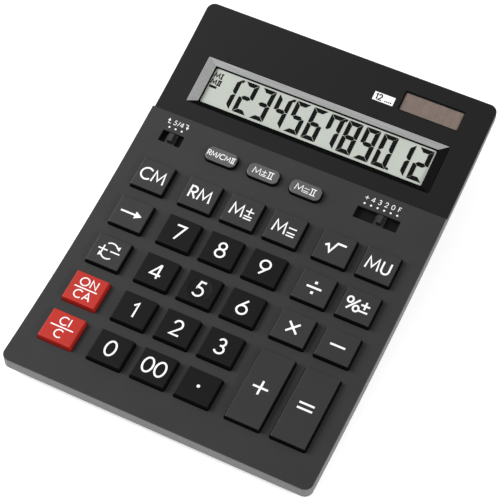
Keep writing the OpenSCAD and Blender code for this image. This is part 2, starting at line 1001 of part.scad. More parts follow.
module inner_screws() {
    color("silver") {
        for (place = plate_screw_places)
            at(place[0], place[1], plate_depth + plate_t)
                screw(pin_d, pin_len, pin_head_d, pin_head_t);
        in_window()
            for (x = [-1, 1], y = [-1, 1])
                translate([x * board_screw_x, board_screw_y(y), board_z - board_t])
                    screw(pin_d, pin_len, pin_head_d, pin_head_t);
        bay_place()
            translate([0, door_screw_y, base_z + pin_head_t])
                screw(pin_d, pin_len, pin_head_d, pin_head_t);
    }
}

module rubber_feet() {
    color([0.08, 0.08, 0.08])
    for (place = foot_places)
        translate([place[0], place[1], 0]) {
            cylinder(d1 = foot_d - 1, d2 = foot_d, h = 0.6);
            translate([0, 0, 0.6 - eps])
                cylinder(d = foot_d, h = base_z);
        }
}

// ---- Drawing ----------------------------------------------------------------------------

lower_case();
keyboard_panel();
display_panel();
window_bezel();
window_trim();
window_lens();
lcd_glass();
lcd_reflector();
zebra_strip();
solar_window();
solar_cell();
solar_leads();
dome_sheet();
key_film();
keypad_plate();
flat_cable();
main_board();
driver_chip();
switch_trays();
battery_door();
button_cell();
battery_plus_clip();
battery_minus_spring();
case_screws();
inner_screws();
rubber_feet();
key_clear_entry();
key_0();
key_00();
key_point();
key_clear_all();
key_1();
key_2();
key_3();
key_plus();
key_equals();
key_exchange();
key_4();
key_5();
key_6();
key_multiply();
key_minus();
key_backspace();
key_7();
key_8();
key_9();
key_divide();
key_percent();
key_memory_clear();
key_memory_recall();
key_memory_add();
key_memory_total();
key_root();
key_markup();
button_recall_2();
button_add_2();
button_total_2();
rounding_slider();
decimal_slider();
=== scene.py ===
"""Looks of a desk calculator: materials, finished keycaps, printed legends, display figures.

Lengths are in metres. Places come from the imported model: a key's frame is worked out from its
joint's axis and its mesh, and a place on the curved face from place(x, s, lift), where s is the
way along the arc from the front edge and lift is the height above the keyboard face.
"""

import json
import math

import bmesh
import bpy
from mathutils import Matrix, Vector


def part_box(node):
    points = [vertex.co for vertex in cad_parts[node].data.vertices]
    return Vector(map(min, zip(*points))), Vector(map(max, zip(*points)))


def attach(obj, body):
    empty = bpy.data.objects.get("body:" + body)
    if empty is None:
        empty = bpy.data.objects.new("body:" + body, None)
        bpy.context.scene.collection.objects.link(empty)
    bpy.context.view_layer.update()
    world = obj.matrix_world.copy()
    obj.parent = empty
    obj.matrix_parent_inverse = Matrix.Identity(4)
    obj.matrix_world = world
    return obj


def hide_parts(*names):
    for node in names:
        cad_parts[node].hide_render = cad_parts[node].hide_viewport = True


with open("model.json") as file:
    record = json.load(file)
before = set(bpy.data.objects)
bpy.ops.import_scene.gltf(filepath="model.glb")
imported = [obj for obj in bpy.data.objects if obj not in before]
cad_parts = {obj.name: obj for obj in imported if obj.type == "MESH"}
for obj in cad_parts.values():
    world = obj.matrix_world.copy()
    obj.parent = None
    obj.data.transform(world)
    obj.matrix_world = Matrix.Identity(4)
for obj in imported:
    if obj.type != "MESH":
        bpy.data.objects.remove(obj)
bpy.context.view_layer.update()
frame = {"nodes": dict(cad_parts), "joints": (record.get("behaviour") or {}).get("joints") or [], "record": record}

MM = 0.001

# The curved face
ARC_R = 640 * MM
FRONT_Z = 10.2 * MM
PANEL_STEP = 2.4 * MM
PANEL_T = 1.4 * MM
FRONT_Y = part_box("keyboard_panel")[0].y

# Keys
KEY_H = 2.5 * MM
BUTTON_H = 2.0 * MM
KEY_DRAW_IN = 0.4 * MM
BUTTON_DRAW_IN = 0.2 * MM
FLANGE_W = 0.7 * MM
FLANGE_T = 0.7 * MM
FLANGE_DEPTH = PANEL_T + 0.15 * MM
CAP_WALL = 1.1 * MM
KEY_R = 0.7 * MM
BUTTON_R = 2.7 * MM
EDGE_R = 0.4 * MM
INNER_R = 0.4 * MM
STEM_D = 4.0 * MM
STEM_REACH = 0.55 * MM
DISH_R = 5.2 * MM
DISH_DEPTH = 0.25 * MM
LIP_W = 0.2 * MM
LIP_H = 0.04 * MM

# Printed ink
INK_T = 0.03 * MM
INK_SINK = 0.02 * MM
INK_HAIR = 0.002 * MM

# Camera
CAMERA_AT = (0.1920, FRONT_Y - 0.29705, 0.6380)
CAMERA_AIM = (-0.0017, FRONT_Y + 0.09305, 0.0102)
CAMERA_ROLL = math.radians(-0.153)
LENS_MM = 128.73


# ---- Places ------------------------------------------------------------------------------


def place(x, s, lift=0.0):
    """Matrix to a place on the curved face, with local Z along its normal."""
    turn = s / ARC_R
    r = ARC_R - lift
    y = FRONT_Y + r * math.sin(turn)
    z = FRONT_Z + ARC_R - r * math.cos(turn)
    return Matrix.Translation((x, y, z)) @ Matrix.Rotation(turn, 4, "X")


JOINT_OF = {joint["child"]: joint for joint in frame["joints"]}


class KeyFrame:
    """A key at rest: the matrix to the middle of its top, and its half sizes at panel level."""

    def __init__(self, node, height):
        axis = JOINT_OF[node]["axis"]
        turn = Matrix.Rotation(math.atan2(axis[1], -axis[2]), 4, "X")
        points = [turn.inverted() @ v.co for v in frame["nodes"][node].data.vertices]
        low = [min(p[i] for p in points) for i in range(3)]
        high = [max(p[i] for p in points) for i in range(3)]
        middle = Vector(((low[0] + high[0]) / 2, (low[1] + high[1]) / 2, high[2]))
        self.matrix = turn @ Matrix.Translation(middle)
        self.height = height
        self.half_w = (high[0] - low[0]) / 2 - FLANGE_W
        self.half_d = (high[1] - low[1]) / 2 - FLANGE_W
        self.bottom = -height - FLANGE_DEPTH - FLANGE_T


# ---- Mesh helpers ------------------------------------------------------------------------


def piece(name, bm, material, body, smooth_angle=35):
    """Turns a bmesh into an object that rides on a body, with crisp edges kept sharp."""
    bmesh.ops.recalc_face_normals(bm, faces=bm.faces)
    limit = math.radians(smooth_angle)
    for face in bm.faces:
        face.smooth = True
    for edge in bm.edges:
        edge.smooth = len(edge.link_faces) == 2 and edge.calc_face_angle(0) < limit
    mesh = bpy.data.meshes.new(name)
    bm.to_mesh(mesh)
    bm.free()
    mesh.materials.append(material)
    obj = bpy.data.objects.new(name, mesh)
    bpy.context.scene.collection.objects.link(obj)
    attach(obj, body)
    return obj


def rounded_loop(half_w, half_d, radius, steps=8):
    """Points of a rounded rectangle, counter-clockwise, the same number for any radius."""
    radius = max(radius, 0.02 * MM)
    points = []
    for corner, (sx, sy) in enumerate(((1, 1), (-1, 1), (-1, -1), (1, -1))):
        for i in range(steps + 1):
            angle = math.pi / 2 * (corner + i / steps)
            points.append((
                sx * (half_w - radius) + radius * math.cos(angle),
                sy * (half_d - radius) + radius * math.sin(angle),
            ))
    return points


def add_loop(bm, points, z):
    return [bm.verts.new((x, y, z)) for x, y in points]


def bridge(bm, lower, upper):
    count = len(lower)
    for i in range(count):
        j = (i + 1) % count
        bm.faces.new((lower[i], lower[j], upper[j], upper[i]))


def add_box(bm, low, high):
    """Closed box between two corners."""
    verts = [
        bm.verts.new((x, y, z))
        for z in (low[2], high[2])
        for x, y in ((low[0], low[1]), (high[0], low[1]), (high[0], high[1]), (low[0], high[1]))
    ]
    bm.faces.new(verts[3::-1])
    bm.faces.new(verts[4:])
    bridge(bm, verts[:4], verts[4:])


# ---- Legends: strokes and filled shapes, in millimetres ----------------------------------


def arc(cx, cy, rx, ry, start, end, steps=24):
    """Points of an elliptical arc between two angles in degrees."""
    return [
        (cx + rx * math.cos(math.radians(a)), cy + ry * math.sin(math.radians(a)))
        for a in (start + (end - start) * i / steps for i in range(steps + 1))
    ]


def tangent_stroke(cx, cy, r, x, y):
    """Line from (x, y) to where it grazes the left side of a circle."""
    distance = math.hypot(x - cx, y - cy)
    angle = math.atan2(y - cy, x - cx) + math.acos(r / distance)
    return [(x, y), (cx + r * math.cos(angle), cy + r * math.sin(angle))]


def turned(strokes, width):
    """The same strokes, turned half a turn in a box of height 1."""
    return [[(width - x, 1 - y) for x, y in line] for line in strokes]


RING = (0, 360)
SIGN_SHARE = 0.75                   # stroke of a two-storey sign beside that of a letter
SIX = [arc(0.32, 0.30, 0.32, 0.30, *RING, steps=40), tangent_stroke(0.32, 0.30, 0.31, 0.50, 1.0)]

# Each glyph is its width and its strokes, in a box whose height is 1
GLYPHS = {
    "0": (0.64, [arc(0.32, 0.5, 0.32, 0.5, *RING, steps=48)]),
    "1": (0.26, [[(0, 0.78), (0.24, 1), (0.24, 0)]]),
    "2": (0.62, [arc(0.30, 0.70, 0.27, 0.30, 172, -38) + [(0.02, 0), (0.62, 0)]]),
    "3": (0.56, [
        arc(0.26, 0.765, 0.22, 0.235, 160, -90) + [(0.20, 0.53)],
        [(0.20, 0.53)] + arc(0.26, 0.265, 0.29, 0.265, 90, -160),
    ]),
    "4": (0.70, [[(0.50, 0), (0.50, 1)], [(0.50, 1), (0, 0.25), (0.70, 0.25)]]),
    "5": (0.60, [[(0.54, 1), (0.20, 1), (0.10, 0.55)] + arc(0.26, 0.31, 0.32, 0.31, 115, -148)]),
    "6": (0.64, SIX),
    "7": (0.62, [[(0, 1), (0.62, 1), (0.18, 0)]]),
    "8": (0.60, [
        arc(0.30, 0.77, 0.235, 0.23, *RING, steps=36),
        arc(0.30, 0.27, 0.30, 0.27, *RING, steps=40),
    ]),
    "9": (0.64, turned(SIX, 0.64)),
    "A": (0.80, [[(0, 0), (0.40, 1), (0.80, 0)], [(0.15, 0.34), (0.65, 0.34)]]),
    "C": (0.86, [arc(0.5, 0.5, 0.5, 0.5, 46, 314, steps=40)]),
    "F": (0.44, [[(0.44, 1), (0, 1), (0, 0)], [(0, 0.52), (0.38, 0.52)]]),
    "I": (0, [[(0, 0), (0, 1)]]),
    "I_serif": (0.44, [[(0, 1), (0.44, 1)], [(0, 0), (0.44, 0)], [(0.22, 0), (0.22, 1)]]),
    "M": (0.98, [[(0, 0), (0.11, 1), (0.49, 0.20), (0.87, 1), (0.98, 0)]]),
    "N": (0.70, [[(0, 0), (0, 1), (0.70, 0), (0.70, 1)]]),
    "O": (1.0, [arc(0.5, 0.5, 0.5, 0.5, *RING, steps=48)]),
    "R": (0.56, [
        [(0, 0), (0, 1), (0.26, 1)] + arc(0.26, 0.74, 0.26, 0.26, 90, -90) + [(0, 0.48)],
        [(0.22, 0.48), (0.56, 0)],
    ]),
    "U": (0.62, [[(0, 1), (0, 0.31)] + arc(0.31, 0.31, 0.31, 0.31, 180, 360) + [(0.62, 1)]]),
    "/": (0.34, [[(0, -0.04), (0.34, 1.04)]]),
    "II": (0.74, [[(0, 1), (0.74, 1)], [(0, 0), (0.74, 0)], [(0.2, 0), (0.2, 1)],
                  [(0.54, 0), (0.54, 1)]]),
    "plus_equals": (0.70, [[(0.02, 0.68), (0.68, 0.68)], [(0.35, 0.36), (0.35, 1)],
                           [(0.02, 0.24), (0.68, 0.24)], [(0.02, 0.02), (0.68, 0.02)]]),
    "minus_equals": (0.70, [[(0.02, 0.68), (0.68, 0.68)], [(0.02, 0.26), (0.68, 0.26)],
                            [(0.02, 0.02), (0.68, 0.02)]]),
}


class Legend:
    """Strokes and filled outlines, in millimetres about the middle of a key."""

    def __init__(self, stroke=0.85):
        self.stroke = stroke
        self.lines = []
        self.fills = []

    def line(self, *points):
        self.lines.append((list(points), self.stroke))
        return self

    def fill(self, points):
        self.fills.append(list(points))
        return self

    def write(self, glyphs, height, gap, middle=(0, 0), stretch=1.0):
        """Writes glyphs whose outer height is height, centred about middle."""
        scale = height - self.stroke
        wide = scale * stretch
        total = sum(GLYPHS[g][0] * wide for g in glyphs) + gap * (len(glyphs) - 1)
        x = middle[0] - total / 2
        for g in glyphs:
            width, strokes = GLYPHS[g]
            stroke = self.stroke * (SIGN_SHARE if g.endswith("_equals") else 1)
            for points in strokes:
                moved = [(x + px * wide, middle[1] + (py - 0.5) * scale) for px, py in points]
                self.lines.append((moved, stroke))
            x += width * wide + gap
        return self


def stroke_sides(points, width):
    """Left and right sides of a stroke, mitred at its corners, and whether it is closed."""
    closed = math.dist(points[0], points[-1]) < 1e-6
    if closed:
        points = points[:-1]
    count = len(points)
    left, right = [], []
    for i, (x, y) in enumerate(points):
        before = points[i - 1] if closed or i > 0 else None
        after = points[(i + 1) % count] if closed or i < count - 1 else None
        ways = []
        for a, b in ((before, (x, y)), ((x, y), after)):
            if a is not None and b is not None:
                ways.append((Vector(b) - Vector(a)).normalized())
        way = sum(ways, Vector((0, 0))).normalized()
        normal = Vector((-way.y, way.x))
        reach = min(1 / max(abs(normal.dot(Vector((-ways[0].y, ways[0].x)))), 0.1), 1.9)
        offset = normal * (width / 2 * reach)
        left.append((x + offset.x, y + offset.y))
        right.append((x - offset.x, y - offset.y))
    return left, right, closed


def add_stroke(bm, points, width, top):
    """Closed flat bar along a polyline, in metres."""
    left, right, closed = stroke_sides(points, width)
    rows = []
    for a, b in zip(left, right):
        corners = ((*a, -INK_SINK), (*b, -INK_SINK), (*b, top), (*a, top))
        rows.append([bm.verts.new((x * MM, y * MM, z)) for x, y, z in corners])
    if closed:
        rows.append(rows[0])
    else:
        bm.faces.new(rows[0][::-1])
        bm.faces.new(rows[-1])
    for a, b in zip(rows, rows[1:]):
        for i in range(4):
            j = (i + 1) % 4
            bm.faces.new((a[i], a[j], b[j], b[i]))


def add_fill(bm, points, top):
    lower = [bm.verts.new((x * MM, y * MM, -INK_SINK)) for x, y in points]
    upper = [bm.verts.new((x * MM, y * MM, top)) for x, y in points]
    bm.faces.new(lower[::-1])
    bm.faces.new(upper)
    bridge(bm, lower, upper)


def finely(points, step=0.5):
    """The same polyline with a point at least every step along it."""
    fine = [points[0]]
    for a, b in zip(points, points[1:]):
        parts = max(1, math.ceil(math.dist(a, b) / step))
        fine += [
            (a[0] + (b[0] - a[0]) * i / parts, a[1] + (b[1] - a[1]) * i / parts)
            for i in range(1, parts + 1)
        ]
    return fine


def legend_piece(name, legend, matrix, material, body, surface=None):
    """Ink that lies on a face, or follows surface(x, y). Each stroke stands a hair higher."""
    bm = bmesh.new()
    for i, (points, width) in enumerate(legend.lines):
        add_stroke(bm, finely(points) if surface else points, width, INK_T + i * INK_HAIR)
    for i, points in enumerate(legend.fills):
        add_fill(bm, points, INK_T + (len(legend.lines) + i) * INK_HAIR)
    if surface:
        for v in bm.verts:
            v.co.z += surface(v.co.x, v.co.y)
    bmesh.ops.transform(bm, matrix=matrix, verts=bm.verts)
    return piece(name, bm, material, body)


# ---- Materials ---------------------------------------------------------------------------


def new_material(name):
    material = bpy.data.materials.new(name)
    material.use_nodes = True
    return material, material.node_tree, material.node_tree.nodes["Principled BSDF"]


def noise(tree, scale, detail=3.0, stretch=(1, 1, 1)):
    """Noise over the object's own coordinates, in which a unit is a metre."""
    coordinates = tree.nodes.new("ShaderNodeTexCoord")
    mapping = tree.nodes.new("ShaderNodeMapping")
    mapping.inputs["Scale"].default_value = stretch
    texture = tree.nodes.new("ShaderNodeTexNoise")
    texture.inputs["Scale"].default_value = scale
    texture.inputs["Detail"].default_value = detail
    tree.links.new(coordinates.outputs["Object"], mapping.inputs["Vector"])
    tree.links.new(mapping.outputs["Vector"], texture.inputs["Vector"])
    return texture.outputs["Fac"]


def ramp(tree, value, low, high, start=0.3, end=0.7):
    node = tree.nodes.new("ShaderNodeValToRGB")
    node.color_ramp.elements[0].position = start
    node.color_ramp.elements[0].color = low
    node.color_ramp.elements[1].position = end
    node.color_ramp.elements[1].color = high
    tree.links.new(value, node.inputs["Fac"])
    return node.outputs["Color"]


def shade(colour, factor):
    return (*(min(1.0, c * factor) for c in colour[:3]), 1.0)


def spread(tree, value, low, high):
    node = tree.nodes.new("ShaderNodeMapRange")
    node.inputs["From Min"].default_value = 0.3
    node.inputs["From Max"].default_value = 0.7
    node.inputs["To Min"].default_value = low
    node.inputs["To Max"].default_value = high
    tree.links.new(value, node.inputs["Value"])
    return node.outputs["Result"]


def bump(tree, shader, height, strength, distance, edge=0.0):
    """Bump over the surface, and soft edges of radius edge where it is given."""
    node = tree.nodes.new("ShaderNodeBump")
    node.inputs["Strength"].default_value = strength
    node.inputs["Distance"].default_value = distance
    tree.links.new(height, node.inputs["Height"])
    if edge:
        soft = tree.nodes.new("ShaderNodeBevel")
        soft.samples = 4
        soft.inputs["Radius"].default_value = edge
        tree.links.new(soft.outputs["Normal"], node.inputs["Normal"])
    tree.links.new(node.outputs["Normal"], shader.inputs["Normal"])


def plastic(name, colour, roughness=0.5, grain=0.25 * MM, relief=0.02 * MM, edge=0.0, vary=0.08,
            gloss=0.35):
    """Moulded plastic: fine spark-eroded grain, faint cloudiness, slightly uneven gloss."""
    material, tree, shader = new_material(name)
    cloud = noise(tree, 60, 4)
    fine = noise(tree, 1 / grain, 2)
    tree.links.new(
        ramp(tree, cloud, shade(colour, 1 - vary), shade(colour, 1 + vary)),
        shader.inputs["Base Color"],
    )
    tree.links.new(
        spread(tree, fine, roughness - 0.06, roughness + 0.06), shader.inputs["Roughness"]
    )
    shader.inputs["Specular IOR Level"].default_value = gloss
    bump(tree, shader, fine, 0.35, relief, edge)
    return material


def metal(name, colour, roughness, stretch=(1, 1, 1), scale=2500.0, edge=0.0, share=1.0):
    """Metal with fine brushing along the axis whose stretch is smallest."""
    material, tree, shader = new_material(name)
    shader.inputs["Metallic"].default_value = share
    streaks = noise(tree, scale, 2, stretch)
    tree.links.new(
        ramp(tree, streaks, shade(colour, 0.88), shade(colour, 1.08)), shader.inputs["Base Color"]
    )
    tree.links.new(
        spread(tree, streaks, roughness - 0.06, roughness + 0.08), shader.inputs["Roughness"]
    )
    bump(tree, shader, streaks, 0.15, 0.01 * MM, edge)
    return material


def pane(name, tint, roughness=0.03):
    """Clear pane: shows what is behind it, and reflects like glossy plastic."""
    material, tree, shader = new_material(name)
    faint = noise(tree, 40, 2)
    tree.links.new(
        ramp(tree, faint, shade(tint, 0.97), shade(tint, 1.0)), shader.inputs["Base Color"]
    )
    tree.links.new(
        spread(tree, faint, roughness, roughness + 0.02), shader.inputs["Roughness"]
    )
    shader.inputs["Alpha"].default_value = 0.06
    shader.inputs["IOR"].default_value = 1.49
    return material


def striped(name, base, line, pitch, share, roughness, coat=0.0):
    """Surface with fine dark lines across X, as on a solar cell."""
    material, tree, shader = new_material(name)
    coordinates = tree.nodes.new("ShaderNodeTexCoord")
    split = tree.nodes.new("ShaderNodeSeparateXYZ")
    steps = tree.nodes.new("ShaderNodeMath")
    steps.operation = "DIVIDE"
    steps.inputs[1].default_value = pitch
    part = tree.nodes.new("ShaderNodeMath")
    part.operation = "FRACT"
    tree.links.new(coordinates.outputs["Object"], split.inputs["Vector"])
    tree.links.new(split.outputs["X"], steps.inputs[0])
    tree.links.new(steps.outputs[0], part.inputs[0])
    lines = ramp(tree, part.outputs[0], shade(line, 1), shade(base, 1), share, share + 0.04)
    cloud = ramp(tree, noise(tree, 260, 4), shade((1, 1, 1), 0.8), shade((1, 1, 1), 1.0))
    mix = tree.nodes.new("ShaderNodeMix")
    mix.data_type = "RGBA"
    mix.blend_type = "MULTIPLY"
    mix.inputs[0].default_value = 1.0
    tree.links.new(lines, mix.inputs[6])
    tree.links.new(cloud, mix.inputs[7])
    tree.links.new(mix.outputs[2], shader.inputs["Base Color"])
    shader.inputs["Roughness"].default_value = roughness
    shader.inputs["Coat Weight"].default_value = coat
    return material


def make_materials():
    return {
        "case_plastic": plastic("case_plastic", (0.115, 0.115, 0.118), 0.5, edge=0.25 * MM),
        "keyboard_face": plastic("keyboard_face", (0.021, 0.021, 0.0215), 0.55, edge=0.15 * MM,
                                 relief=0.035 * MM),
        "display_face": plastic("display_face", (0.004, 0.004, 0.0042), 0.5, edge=0.15 * MM,
                                gloss=0.25),
        # Painted reflection: on the display bevel, the right and front slopes that take this near-black finish
        # stand in for the dark that a silver bevel reflects on its slopes turned away from the camera; silver_trim
        # gives the left and rear slopes
        "bezel_black": plastic("bezel_black", (0.002, 0.002, 0.0022), 0.5, relief=0.005 * MM,
                               gloss=0.03),
        "silver_trim": metal("silver_trim", (0.37, 0.37, 0.372), 0.55, (0.02, 1, 1), share=0.5),
        "clear_pane": pane("clear_pane", (0.02, 0.022, 0.02)),
        "lcd": plastic("lcd", (0.56, 0.60, 0.54), 0.45, grain=0.12 * MM, relief=0.003 * MM,
                       vary=0.03),
        "reflector": metal("reflector", (0.7, 0.7, 0.7), 0.5),
        "elastomer": plastic("elastomer", (0.55, 0.25, 0.25), 0.7),
        "solar": striped("solar", (0.235, 0.178, 0.150), (0.18, 0.137, 0.115), 3.55 * MM, 0.04,
                         0.35, coat=0.4),
        "wire_sleeve": plastic("wire_sleeve", (0.5, 0.03, 0.02), 0.45),
        "dome_rubber": plastic("dome_rubber", (0.25, 0.28, 0.31), 0.7),
        "circuit_film": plastic("circuit_film", (0.55, 0.27, 0.05), 0.3, relief=0.005 * MM),
        "plated_steel": metal("plated_steel", (0.6, 0.6, 0.6), 0.3, (1, 0.05, 1)),
        "circuit_board": plastic("circuit_board", (0.02, 0.13, 0.05), 0.4, grain=0.8 * MM),
        "chip_black": plastic("chip_black", (0.015, 0.015, 0.015), 0.6),
        "black_plastic": plastic("black_plastic", (0.005, 0.005, 0.0052), 0.5, edge=0.1 * MM,
                                 gloss=0.12),
        "contact_metal": metal("contact_metal", (0.75, 0.55, 0.25), 0.3),
        "screw_steel": metal("screw_steel", (0.55, 0.55, 0.56), 0.28),
        "foot_rubber": plastic("foot_rubber", (0.02, 0.02, 0.02), 0.85, grain=0.4 * MM,
                               relief=0.05 * MM, edge=0.3 * MM),
        "key_number": plastic("key_number", (0.002, 0.002, 0.0022), 0.42, gloss=0.24),
        "key_function": plastic("key_function", (0.018, 0.018, 0.0185), 0.42, gloss=0.5),
        # Painted shade for the steep sides of the caps: a near-black, duller copy of the key plastics
        "cap_skirt_painted_shade": plastic("cap_skirt_painted_shade", (0.0025, 0.0025, 0.0026), 0.5, gloss=0.15),
        "key_red": plastic("key_red", (0.42, 0.014, 0.006), 0.4, gloss=0.5),
        "button_grey": plastic("button_grey", (0.075, 0.075, 0.077), 0.38, gloss=0.7),
        "ink_white": plastic("ink_white", (0.86, 0.86, 0.85), 0.55, relief=0.004 * MM, vary=0.03),
        "ink_black": plastic("ink_black", (0.003, 0.003, 0.003), 0.5, relief=0.002 * MM,
                             gloss=0.08),
    }


MATERIALS = make_materials()
SLIDERS = ("rounding_slider", "decimal_slider")


def paint_frame():
    """Gives each CAD node the material of its own slot; the sliders match the grey keys."""
    slot_of = {entry["node"]: entry["material_slot"] for entry in frame["record"]["subparts"]}
    for node, obj in frame["nodes"].items():
        finish = "key_function" if node in SLIDERS else slot_of[node]
        obj.data.materials.clear()
        obj.data.materials.append(MATERIALS[finish])


# ---- Keycaps -----------------------------------------------------------------------------


def keycap(node, slot, height, corner_r, draw_in, dished=False):
    """Hollow cap with rounded edges, a flange under the panel and a stem over its dome."""
    key = KeyFrame(node, height)
    bm = bmesh.new()
    w, d, foot = key.half_w, key.half_d, key.bottom
    roof = -CAP_WALL
    skirt = [
        (-CAP_WALL, INNER_R, roof),
        (-CAP_WALL, INNER_R, foot),
        (FLANGE_W, corner_r + INNER_R, foot),
        (FLANGE_W, corner_r + INNER_R, foot + FLANGE_T),
        (0, corner_r, foot + FLANGE_T),
        (0, corner_r, -height),
    ]
    loops = [add_loop(bm, rounded_loop(w + grow, d + grow, r), z) for grow, r, z in skirt]
    steps = 5
    for i in range(steps + 1):
        angle = math.pi / 2 * i / steps
        inset = draw_in * (1 - EDGE_R / height) + EDGE_R * (1 - math.cos(angle))
        z = -EDGE_R * (1 - math.sin(angle))
        radius = max(corner_r - inset, 0.25 * MM)
        loops.append(add_loop(bm, rounded_loop(w - inset, d - inset, radius), z))
    if dished:
        loops += dish_loops(bm, len(loops[-1]))
    for lower, upper in zip(loops, loops[1:]):
        bridge(bm, lower, upper)
    bm.faces.new(loops[0][::-1])
    bm.faces.new(loops[-1])
    half = STEM_D / 2
    add_box(bm, (-half, -half, foot - STEM_REACH), (half, half, roof + 0.2 * MM))
    bmesh.ops.transform(bm, matrix=key.matrix, verts=bm.verts)
    cap = piece("cap_" + node, bm, MATERIALS[slot], node)
    weights = cap.modifiers.new("weights", "WEIGHTED_NORMAL")
    weights.keep_sharp = True
    # Painted shade: every cap but the red ones gets the near-black skirt plastic on its steep sides
    if slot != "key_red":
        paint_skirt_shade(cap, key.matrix)
    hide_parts(node)
    return key


def paint_skirt_shade(cap, matrix):
    """Painted shade: gives the steep sides and the inside of a cap the black, duller plastic, standing in for the
    shade that falls on them.
    """
    cap.data.materials.append(MATERIALS["cap_skirt_painted_shade"])
    upright = matrix.inverted().to_3x3()
    for face in cap.data.polygons:
        if (upright @ face.normal).z < 0.3:
            face.material_index = 1


def dish_z(x, y):
    """Height of the middle key's top: a shallow round dish inside a fine raised lip."""
    reach = math.hypot(x, y)
    if reach < DISH_R:
        return -DISH_DEPTH * (1 - (reach / DISH_R) ** 2)
    return LIP_H * max(0.0, 1 - abs(reach - DISH_R - LIP_W) / LIP_W)


def dish_loops(bm, count):
    """Round loops of the dish, with count points each."""
    radii = [DISH_R + 2 * LIP_W, DISH_R + LIP_W] + [DISH_R * i / 12 for i in range(12, 0, -1)]
    angles = [2 * math.pi * (i + 0.5) / count for i in range(count)]
    return [
        add_loop(bm, [(r * math.cos(a), r * math.sin(a)) for a in angles], dish_z(r, 0))
        for r in radii
    ]


# ---- What is printed on each key ---------------------------------------------------------


def digits_legend(text):
    return Legend(0.84).write(list(text), 7.7, 1.3)


def letters_legend(*glyphs, gap=1.1):
    return Legend(0.78).write(glyphs, 6.3, gap)


def over_under(top, bottom):
    """Two short words, one over and one under a long bar."""
    legend = Legend(0.56)
    legend.write(top, 4.3, 1.15, (0, 3.1), 1.05)
    legend.write(bottom, 4.3, 1.0, (0, -3.1), 1.05)
    return legend.line((-5.3, 0), (5.3, 0))


def clear_entry_legend():
    return over_under("CI", "C")


def clear_all_legend():
    return over_under("ON", "CA")


def point_legend():
    return Legend().fill(arc(0, 0, 0.72, 0.72, 0, 350, steps=23))


def plus_legend():
    return Legend(0.9).line((-3.4, 0), (3.4, 0)).line((0, -3.3), (0, 3.3))


def equals_legend():
    return Legend(0.9).line((-3.35, 1.23), (3.35, 1.23)).line((-3.35, -1.23), (3.35, -1.23))


def minus_legend():
    return Legend(0.9).line((-3.35, 0), (3.35, 0))


def multiply_legend():
    return Legend(0.9).line((-2.4, -2.4), (2.4, 2.4)).line((-2.4, 2.4), (2.4, -2.4))


def divide_legend():
    legend = minus_legend()
    for y in (-2.45, 2.45):
        legend.fill([(-0.6, y - 0.6), (0.6, y - 0.6), (0.6, y + 0.6), (-0.6, y + 0.6)])
    return legend


def root_legend():
    return Legend(0.9).line((-4.3, 0.1), (-3.0, 0.9), (-1.5, -2.5), (0.6, 2.5), (4.5, 2.5))


def percent_legend():
    legend = Legend(0.8)
    legend.line(*arc(-4.1, 1.55, 1.2, 1.35, 0, 360, steps=32))
    legend.line(*arc(-0.5, -1.6, 1.2, 1.35, 0, 360, steps=32))
    legend.line((-4.5, -2.8), (-0.1, 2.8))
    legend.line((0.95, 0.95), (4.9, 0.95)).line((2.92, -0.85), (2.92, 2.75))
    return legend.line((0.95, -2.0), (4.9, -2.0))


def backspace_legend():
    legend = Legend(0.85).line((-5.0, 0), (2.2, 0))
    return legend.fill([(1.8, -1.8), (5.0, 0), (1.8, 1.8)])


def arrow_head(tip_x, tip_y, heading, length=2.0, width=2.2):
    """Filled triangle that points along heading, in degrees."""
    way = Vector((math.cos(math.radians(heading)), math.sin(math.radians(heading))))
    side = Vector((-way.y, way.x)) * width / 2
    tip = Vector((tip_x, tip_y))
    base = tip - way * length
    return [tuple(tip), tuple(base + side), tuple(base - side)]


def exchange_legend():
    """A plus and a minus inside two arrows that chase each other."""
    legend = Legend(0.62)
    legend.line((-5.1, 0.2), (-0.7, 0.2)).line((-2.9, -1.8), (-2.9, 2.2))
    legend.line((0.6, 0.2), (5.0, 0.2))
    legend.line(*arc(0.1, 0.2, 3.6, 3.9, 126, 46))
    legend.line(*arc(0.1, 0.2, 3.6, 3.9, 306, 226))
    legend.fill(arrow_head(4.0, 1.5, -64, 2.0, 2.1))
    return legend.fill(arrow_head(-3.8, -1.1, 116, 2.0, 2.1))


LEGENDS = {
    "key_clear_entry": clear_entry_legend, "key_clear_all": clear_all_legend,
    "key_exchange": exchange_legend, "key_backspace": backspace_legend,
    "key_memory_clear": lambda: letters_legend("C", "M", gap=1.0),
    "key_memory_recall": lambda: letters_legend("R", "M", gap=1.2),
    "key_memory_add": lambda: letters_legend("M", "plus_equals", gap=1.0),
    "key_memory_total": lambda: letters_legend("M", "minus_equals", gap=1.0),
    "key_root": root_legend, "key_markup": lambda: letters_legend("M", "U", gap=1.5),
    "key_divide": divide_legend, "key_percent": percent_legend,
    "key_multiply": multiply_legend, "key_minus": minus_legend,
    "key_plus": plus_legend, "key_equals": equals_legend, "key_point": point_legend,
    "key_00": lambda: digits_legend("00"),
}
BUTTON_WORDS = {
    "button_recall_2": ("R", "M", "/", "C", "M", "II"),
    "button_add_2": ("M", "plus_equals", "II"),
    "button_total_2": ("M", "minus_equals", "II"),
}
RED_KEYS = ("key_clear_entry", "key_clear_all")


def is_number(node):
    name = node.removeprefix("key_")
    return name.isdigit() or name == "point"


def make_keys():
    for node in sorted(n for n in JOINT_OF if n.startswith("key_")):
        slot = "key_red" if node in RED_KEYS else "key_function"
        if is_number(node):
            slot = "key_number"
        key = keycap(node, slot, KEY_H, KEY_R, KEY_DRAW_IN, dished=node == "key_5")
        draw = LEGENDS.get(node)
        legend = draw() if draw else digits_legend(node.removeprefix("key_"))
        surface = dish_z if node == "key_5" else None
        ink = MATERIALS["ink_white"]
        legend_piece("legend_" + node, legend, key.matrix, ink, node, surface)


